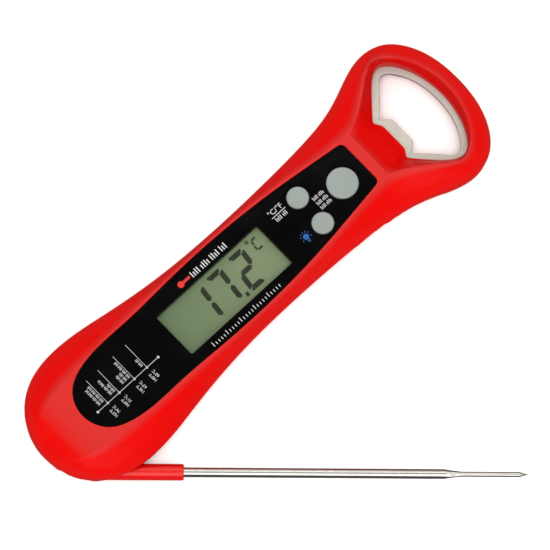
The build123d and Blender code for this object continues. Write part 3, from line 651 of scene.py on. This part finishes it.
KEYS = key_places()
LENS_LOW, LENS_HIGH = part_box("display_lens")
LENS_LEDGE = 1.5
WINDOW_CENTRE = ((LENS_LOW.x + LENS_HIGH.x) / 2 / MM, (LENS_LOW.y + LENS_HIGH.y) / 2 / MM)
WINDOW = ((LENS_HIGH.x - LENS_LOW.x) / MM - 2 * LENS_LEDGE, (LENS_HIGH.y - LENS_LOW.y) / MM - 2 * LENS_LEDGE)


def front_case():
    case = front_solid()
    boolean(case, cavity_solid())
    boolean(case, prism("mouth", RIM, -5, 40))
    boolean(case, prism("pocket", overlay_outline(0), POCKET_FLOOR, 30))
    wide = (WINDOW[0] + 2 * LENS_LEDGE + 0.2, WINDOW[1] + 2 * LENS_LEDGE + 0.2)
    boolean(case, prism("lens_seat", rectangle(WINDOW_CENTRE, wide, 0.3), POCKET_FLOOR - 1.3, 30))
    view = (WINDOW[0] + 1, WINDOW[1] + 1)
    boolean(case, prism("view", rectangle(WINDOW_CENTRE, view, 0.3), 10, 30))
    for name, (x, y, radius) in KEYS.items():
        boolean(case, prism(f"{name}_hole", circle(x, y, radius + 0.25), 10, 30))
    plate = rounded_polygon(squared_loop(PLATE_SIDE, (PLATE_TANG,)), 0.3, 2)
    boolean(case, prism("plate_seat", inset_loop(plate, -0.1), 0, Z_RIM - 0.6))
    tidy_mesh(case, sharp=28, merge=1e-6)
    even = case.modifiers.new("even", "WEIGHTED_NORMAL")
    even.keep_sharp = True
    even.weight = 80
    evaluated(case)
    dress(case, HOUSING, RED, ("front_shell",))


# ---------------------------------------------------------------- front overlay and its printing
def front_film():
    edge = 0.12
    outline = overlay_outline(edge)
    sheet = soft_prism("front_film", outline, OVERLAY_BOTTOM, OVERLAY_TOP, edge)
    boolean(sheet, prism("window", rectangle(WINDOW_CENTRE, WINDOW, 0.8), 10, 30))
    for name, (x, y, radius) in KEYS.items():
        boolean(sheet, prism("hole", circle(x, y, radius + 0.2), 10, 30))
    tidy_mesh(sheet, sharp=32, merge=1e-6)
    dress(sheet, HOUSING, FILM, ("front_overlay",))


INK_LOW, INK_HIGH = OVERLAY_TOP - 0.02, OVERLAY_TOP + 0.035


def bar(x0, y0, x1, y1, width):
    """Corners of a straight printed line."""
    a, b = np.array([x0, y0], float), np.array([x1, y1], float)
    along = (b - a) / np.linalg.norm(b - a)
    side = np.array([-along[1], along[0]]) * width / 2
    return np.array([a - side, b - side, b + side, a + side])


def joined(name, polygons, bottom, top, material):
    """One piece made of many small flat prisms."""
    verts, faces = [], []
    for polygon in polygons:
        start, count = len(verts), len(polygon)
        verts += [(x, y, bottom) for x, y in polygon] + [(x, y, top) for x, y in polygon]
        faces += [tuple(start + i for i in f) for f in loft_faces(2, count)]
    return piece(name, verts, faces, HOUSING, material)


def words(name, text, place, height, material, turn=0.0):
    """Generic figures and units as thin raised print."""
    curve = bpy.data.curves.new(name, "FONT")
    curve.body = text
    curve.size = height / 0.7 * MM
    curve.extrude = (INK_HIGH - INK_LOW) / 2 * MM
    curve.resolution_u = 3
    obj = bpy.data.objects.new(name, curve)
    bpy.context.scene.collection.objects.link(obj)
    graph = bpy.context.evaluated_depsgraph_get()
    mesh = bpy.data.meshes.new_from_object(obj.evaluated_get(graph))
    bpy.data.objects.remove(obj)
    obj = bpy.data.objects.new(name, mesh)
    bpy.context.scene.collection.objects.link(obj)
    x, y = place
    place_z = (INK_LOW + INK_HIGH) / 2
    shift = Matrix.Translation(Vector((x, y, place_z)) * MM)
    mesh.transform(shift @ Matrix.Rotation(math.radians(turn), 4, "Z"))
    dress(obj, HOUSING, material)
    return obj


GUIDE_Y = -2.5
GUIDE_STOPS = [-71.1, -66.7, -61.6, -54.9, -49.3, -44.3]
STOP_TOP = 7.8
STOP_HEAT = [("165°F", "74°C"), ("160°F", "71°C"), ("145°F", "63°C"), ("140°F", "60°C")]
STOP_MARKS = [(6.6, 7.2), (6.2, 3.6), (3.5, 3.5, 6.8), (3.0,)]


def dashes(start, length, height, along=(1, 0)):
    """Row of short upright strokes that stands in for a line of small print."""
    start, along = np.array(start, float), np.array(along, float)
    across = np.array([-along[1], along[0]])
    made, at, step = [], 0.0, height * 0.42
    while at < length:
        foot = start + along * at
        tall = height * (0.75 if len(made) % 3 == 1 else 1.0)
        made.append(bar(*foot, *(foot + across * tall), height * 0.17))
        at += step * (1.6 if len(made) % 4 == 0 else 1.0)
    return made


def cooking_guide():
    shapes = [bar(GUIDE_STOPS[0], GUIDE_Y, GUIDE_STOPS[-1], GUIDE_Y, 0.17)]
    shapes += [circle(x, GUIDE_Y, 0.42, 20) for x in GUIDE_STOPS]
    for i, (x, heat, marks) in enumerate(zip(GUIDE_STOPS[1:5], STOP_HEAT, STOP_MARKS)):
        shapes.append(bar(x, GUIDE_Y, x, STOP_TOP, 0.12))
        for k, length in enumerate(marks):
            shapes += dashes((x - 0.5 - 1.35 * (len(marks) - 1 - k), GUIDE_Y + 1.5), length, 0.95, (0, 1))
        words(f"heat_f_{i}", heat[0], (x - 0.45, GUIDE_Y - 5.6), 1.0, INK, turn=90)
        words(f"heat_c_{i}", heat[1], (x + 1.15, GUIDE_Y - 4.9), 1.0, INK, turn=90)
    joined("guide_lines", shapes, INK_LOW, INK_HIGH, INK)


def maker_space():
    """Plain stand-ins where makers print a name and a description: a scale, and a small thermometer sign."""
    ticks = []
    for i in range(25):
        x, tall = -28.4 + i * 1.22, 1.7 if i % 5 == 0 else 1.05
        ticks.append(bar(x, -12.6, x, -12.6 + tall, 0.24))
    joined("scale_ticks", ticks, INK_LOW, INK_HIGH, INK)
    joined("name_dashes", dashes((-17.4, 9.0), 14.6, 2.2), INK_LOW, INK_HIGH, INK)
    sign = [circle(-22.2, 10.15, 1.15, 28), bar(-21.14, 10.15, -18.3, 10.15, 0.95)]
    joined("warm_sign", sign, INK_LOW, INK_HIGH, RED_INK)


def key_print():
    words("unit_sign", "°C/°F", (14.3, 6.6), 1.8, INK)
    shapes = [bar(14.5, 5.85, 20.3, 5.85, 0.24), *dashes((15.3, 3.8), 4.2, 1.5)]
    for row, length in ((0.75, 4.8), (-1.2, 4.2), (-3.1, 4.2)):
        shapes += dashes((28.7, row), length, 1.3)
    joined("key_marks", shapes, INK_LOW, INK_HIGH, INK)
    x, y = 18.4, -6.4
    bulb_y, inner, outer = y + 0.3, 1.45, 2.0
    rays = []
    for degrees in (-20, 25, 60, 90, 120, 155, 200):
        c, s = math.cos(math.radians(degrees)), math.sin(math.radians(degrees))
        rays.append(bar(x + inner * c, bulb_y + inner * s, x + outer * c, bulb_y + outer * s, 0.22))
    lamp = [circle(x, bulb_y, 1.0, 28), bar(x - 0.55, y - 1.05, x + 0.55, y - 1.05, 0.3),
            bar(x - 0.4, y - 1.55, x + 0.4, y - 1.55, 0.3)]
    joined("lamp_sign", lamp + rays, INK_LOW, INK_HIGH, BLUE_INK)


# ---------------------------------------------------------------- display
LCD_LOW, LCD_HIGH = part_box("lcd_cell")
LCD_TOP = LCD_HIGH.z / MM
DIGIT_SLANT = 0.11
DIGIT_HALF = 5.9
DIGIT_WIDTH = 4.9
STROKE = 1.78
DIGITS = {"1": ("right_up", "right_low"), "7": ("top", "right_up", "right_low"),
          "2": ("top", "right_up", "middle", "left_low", "bottom")}


def segment(kind, right, middle):
    """One bar of a slanted seven-bar figure whose right stroke crosses the level middle at x = right."""
    left = right - DIGIT_WIDTH
    half, gap = STROKE / 2, 0.16
    upright = {"right_up": (right, 1), "right_low": (right, -1), "left_up": (left, 1), "left_low": (left, -1)}
    if kind in upright:
        x, way = upright[kind]
        low, high = gap + 0.1, DIGIT_HALF - gap
        out = half if x == right else -half
        outline = [(x, low), (x + out, low + half * 0.9), (x + out, high - half * 0.4), (x + out * 0.5, high),
                   (x - out, high - half * 0.9), (x - out, low + half * 0.9)]
        outline = [(a, way * b) for a, b in outline]
    else:
        y = {"top": DIGIT_HALF, "middle": 0.0, "bottom": -DIGIT_HALF}[kind]
        a, b = left + gap - 0.3, right - gap
        if kind == "middle":
            outline = [(a, y), (a + half, y + half), (b - half, y + half), (b, y), (b - half, y - half),
                       (a + half, y - half)]
        else:
            way = 1 if kind == "top" else -1
            outline = [(a - half * 0.3, y + way * half * 0.5), (a + half * 0.1, y + way * half),
                       (b - half * 0.1, y + way * half), (b + half * 0.3, y + way * half * 0.5),
                       (b - half, y - way * half), (a + half, y - way * half)]
    return [(x + DIGIT_SLANT * y, y + middle) for x, y in outline]


def display():
    middle_x, middle_y = WINDOW_CENTRE
    low, high = LCD_LOW / MM, LCD_HIGH / MM
    panel = rectangle(((low.x + high.x) / 2, (low.y + high.y) / 2), (high.x - low.x, high.y - low.y), 0.3)
    soft_prism("lcd_panel", panel, low.z, high.z, 0.1, HOUSING, "lcd_glass", LCD, ("lcd_cell",))
    shapes = []
    level_y = -0.35
    for figure, right in (("1", -18.45), ("7", -10.0), ("2", -0.25)):
        shapes += [segment(kind, right, level_y) for kind in DIGITS[figure]]
    shapes.append([(x, y) for x, y in rectangle((-8.15, -6.5), (1.15, 1.5), 0.15)])
    shapes += [bar(x, y, x + dx, y + dy, 0.34) for x, y, dx, dy in
               ((3.0, 5.9, 0.8, 0), (3.0, 6.7, 0.8, 0), (3.0, 5.73, 0, 1.14), (3.8, 5.73, 0, 1.14))]
    unit = [(5.0, 5.75, 6.7, 5.75), (4.6, 1.95, 6.6, 1.95), (4.85, 5.5, 4.6, 4.05), (4.55, 3.7, 4.35, 2.25)]
    shapes += [bar(*line, 0.66) for line in unit]
    joined("lcd_figures", shapes, LCD_TOP - 0.02, LCD_TOP + 0.04, SEGMENT)
    lens = rectangle(WINDOW_CENTRE, (WINDOW[0] - 0.04, WINDOW[1] - 0.04), 0.6)
    soft_prism("window_lens", lens, LENS_LOW.z / MM, LENS_HIGH.z / MM, 0.1, HOUSING, "clear_lens", CLEAR,
               ("display_lens",))
    around = rectangle(WINDOW_CENTRE, (WINDOW[0] + 2.8, WINDOW[1] + 2.8), 0.3)
    border = prism("lens_border", around, LCD_TOP + 0.05, POCKET_FLOOR)
    boolean(border, prism("border_hole", rectangle(WINDOW_CENTRE, WINDOW, 0.8), 0, 30))
    tidy_mesh(border)
    dress(border, HOUSING, BLACK)


def key(name):
    """Push key: flanged cap with a soft edge and a barely dished top."""
    x, y, radius = KEYS[name]
    low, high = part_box(f"{name}_button")
    bottom, top = low.z / MM, high.z / MM
    flange = FACE_UNDERSIDE - 0.08
    profile = [(0, bottom), (1.1, bottom), (1.1, flange - 0.9), (radius + 1, flange - 0.9)]
    profile += [(radius + 1, flange), (radius, flange), (radius, top - 0.5)]
    profile += [(radius - 0.5 * (1 - math.cos(t)), top - 0.5 + 0.5 * math.sin(t))
                for t in np.linspace(0.2, math.pi / 2, 6)]
    profile += [((radius - 0.5) * share, top - 0.05 * (1 - share**2)) for share in np.linspace(1, 0, 9)[1:]]
    lathe(f"{name}_key_cap", profile, (x, y, 0), f"{name}_key", KEY, (f"{name}_button",),
          sharp=50)


# ---------------------------------------------------------------- opener plate
def opener_plate():
    low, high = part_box("opener_plate")
    outer = rounded_polygon(squared_loop(PLATE_SIDE, (PLATE_TANG,)), 0.5, 3)
    plate = soft_prism("steel_opener", outer, low.z / MM, high.z / MM, 0.15)
    hole = softened(squared_loop(OPENING_SIDE, (OPENING_TOOTH,)), 0.4)
    edge = 0.28
    bottom, top, beyond, skin = low.z / MM, high.z / MM, 1.0, 0.001
    rounding = [(edge * (1 - math.sin(t)), edge * (1 - math.cos(t))) for t in np.linspace(0, math.pi / 2, 6)]
    flared, brim = inset_loop(hole, -edge - beyond), inset_loop(hole, -edge)
    rows = [level(flared, bottom - beyond), level(brim, bottom - skin)]
    rows += [level(inset_loop(hole, -out), bottom + up) for out, up in rounding]
    rows.append(level(hole, (bottom + top) / 2))
    rows += [level(inset_loop(hole, -out), top - down) for out, down in rounding[::-1]]
    rows += [level(brim, top + skin), level(flared, top + beyond)]
    boolean(plate, lofted("mouth", rows))
    screws_low, screws_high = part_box("opener_screws")
    screw_x, screw_y = (screws_low.x + screws_high.x) / 2 / MM, screws_high.y / MM - 2.1
    for side in (-1, 1):
        boolean(plate, prism("hole", circle(screw_x, side * screw_y, 1.25), 0, 30))
    tidy_mesh(plate, sharp=40, merge=1e-6)
    dress(plate, HOUSING, PLATE, ("opener_plate",))


# ---------------------------------------------------------------- probe
TUBE_RADIUS, TIP_RADIUS = 1.6, 0.85
TUBE_MIDDLE, TUBE_HALF, TUBE_IN_HUB = 71.0, 42.3, 16.7
TAPER_LENGTH, POINT_START, POINT_END = 5.6, 24.3, 27.2


def probe():
    """Swaged tube: its taper is hammered into shallow flats, and its point is ground to three faces."""
    pivot = Vector(next(j for j in frame["joints"] if j["name"] == "probe_hinge")["pos_m"]) / MM
    turn = math.radians(REST_ANGLE)
    axis = Vector((math.cos(turn), math.sin(turn), 0))
    side = Vector((math.sin(turn), -math.cos(turn), 0)) * ARM_OFFSET
    radius, tip, half = TUBE_RADIUS, TIP_RADIUS, TUBE_HALF
    centre = Vector((pivot.x, pivot.y, ARM_Z)) + side + axis * TUBE_MIDDLE
    taper, thin, point, end = half, half + TAPER_LENGTH, half + POINT_START, half + POINT_END
    start = -half - TUBE_IN_HUB
    profile = [(0, start), (radius, start), (radius, -half + 0.4)]
    profile += [(radius, s) for s in np.linspace(-half + 2, taper - 0.6, 40)]
    profile += [(radius - (radius - tip) * u, taper + TAPER_LENGTH * u) for u in np.linspace(0, 1, 12)]
    profile += [(tip, s) for s in np.linspace(thin + 0.4, point, 12)]
    profile += [(tip * (1 - u)**0.75, point + (end - point) * u) for u in np.linspace(0.12, 0.94, 8)]
    profile += [(0.03, end - 0.02), (0, end)]

    def flats(turn, height):
        if taper < height < thin:
            depth = 0.20 * math.sin(math.pi * (height - taper) / (thin - taper))
            return 1 - depth * (1 - np.abs(np.sin(2 * turn + 0.5)))
        if height > point:
            return 1 - 0.3 * (1 - np.abs(np.sin(1.5 * turn + 0.6))) * min(1.0, (height - point) / 0.8)
        return 1.0

    lathe("probe_steel", profile, centre, PROBE, polished_tube(axis), ("probe_tube",),
          count=72, axis=axis, facet=flats, sharp=60)
    remeshed_copy("probe_hub", "probe_arm", 0.22, 6, PROBE, RED_GLOSS)


RED_GLOSS = moulded("red_gloss", (0.45, 0.0015, 0.0008), 0.16, grain=900.0, depth=0.006, spread=0.04)


# ---------------------------------------------------------------- stage
UP = Vector((0.6871, 0.7266, 0.0))
RIGHT = Vector((0.7266, -0.6871, 0.0))
TILT = math.radians(15.0)
TO_CAMERA = Vector((0, 0, 1)) * math.cos(TILT) - UP * math.sin(TILT)
DISTANCE = 5.0
VIEW_WIDTH = 0.1790


def camera(target):
    """Looks down at the object from 75 degrees above the floor, through a long lens."""
    data = bpy.data.cameras.new("camera")
    data.sensor_width = 36.0
    data.lens = data.sensor_width * DISTANCE / VIEW_WIDTH
    data.clip_end = 30
    obj = bpy.data.objects.new("camera", data)
    bpy.context.scene.collection.objects.link(obj)
    back = TO_CAMERA.normalized()
    above = back.cross(RIGHT).normalized()
    turn = Matrix((RIGHT, above, back)).transposed().to_4x4()
    obj.matrix_world = Matrix.Translation(target + back * DISTANCE) @ turn
    bpy.context.scene.camera = obj


def area_light(name, where, size, power, colour=(1, 1, 1)):
    """Soft box that faces the object; its first size lies along the picture's width."""
    data = bpy.data.lights.new(name, "AREA")
    data.shape = "RECTANGLE"
    data.size, data.size_y = size
    data.energy = power
    data.color = colour
    obj = bpy.data.objects.new(name, data)
    bpy.context.scene.collection.objects.link(obj)
    back = where.normalized()
    up = back.cross(RIGHT).normalized()
    turn = Matrix((up.cross(back), up, back)).transposed().to_4x4()
    obj.matrix_world = Matrix.Translation(where) @ turn


def studio():
    floor = bpy.data.meshes.new("floor")
    reach = 3.0
    floor.from_pydata([(-reach, -reach, 0), (reach, -reach, 0), (reach, reach, 0), (-reach, reach, 0)], [],
                      [(0, 1, 2, 3)])
    sheet = bpy.data.objects.new("floor", floor)
    sheet.location.z = -0.0002
    bpy.context.scene.collection.objects.link(sheet)
    floor.materials.append(floor_paper())
    sheet.visible_glossy = False
    world = bpy.data.worlds.new("studio")
    bpy.context.scene.world = world
    world.use_nodes = True
    background = world.node_tree.nodes["Background"]
    background.inputs["Color"].default_value = (1.0, 0.97, 0.92, 1)
    nodes, links = world.node_tree.nodes, world.node_tree.links
    path, gain = nodes.new("ShaderNodeLightPath"), nodes.new("ShaderNodeMapRange")
    gain.inputs["To Min"].default_value, gain.inputs["To Max"].default_value = 0.72, 0.10
    links.new(path.outputs["Is Glossy Ray"], gain.inputs["Value"])
    links.new(gain.outputs["Result"], background.inputs["Strength"])
    area_light("front", -UP * 1.10 + Vector((0, 0, 1.10)), (1.8, 1.3), 13)
    area_light("ceiling", UP * 0.80 + Vector((0, 0, 1.5)), (2.4, 2.6), 14, (1.0, 0.94, 0.84))
    area_light("streak", RIGHT * 0.30 + UP * 0.56 + Vector((0, 0, 1.35)), (0.9, 0.12), 1.2)
    sun = bpy.data.lights.new("from_camera", "SUN")
    sun.energy = 2.0
    sun.angle = math.radians(24)
    lamp = bpy.data.objects.new("from_camera", sun)
    lamp.visible_glossy = False
    bpy.context.scene.collection.objects.link(lamp)
    lamp.rotation_euler = TO_CAMERA.to_track_quat("Z", "Y").to_euler()


def main():
    slots = {part["node"]: part["material_slot"] for part in frame["record"]["subparts"]}
    for name, node in frame["nodes"].items():
        node.data.materials.clear()
        node.data.materials.append(BY_SLOT[slots[name]])
    front_case()
    remeshed_copy("rear_shell", "rear_case", 0.5, 5, HOUSING, RED)
    front_film()
    cooking_guide()
    maker_space()
    key_print()
    display()
    for name in KEYS:
        key(name)
    opener_plate()
    probe()
    camera(Vector((3.53, -7.10, Z_EDGE)) * MM)
    studio()
    bpy.context.scene.view_settings.view_transform = "Standard"


main()
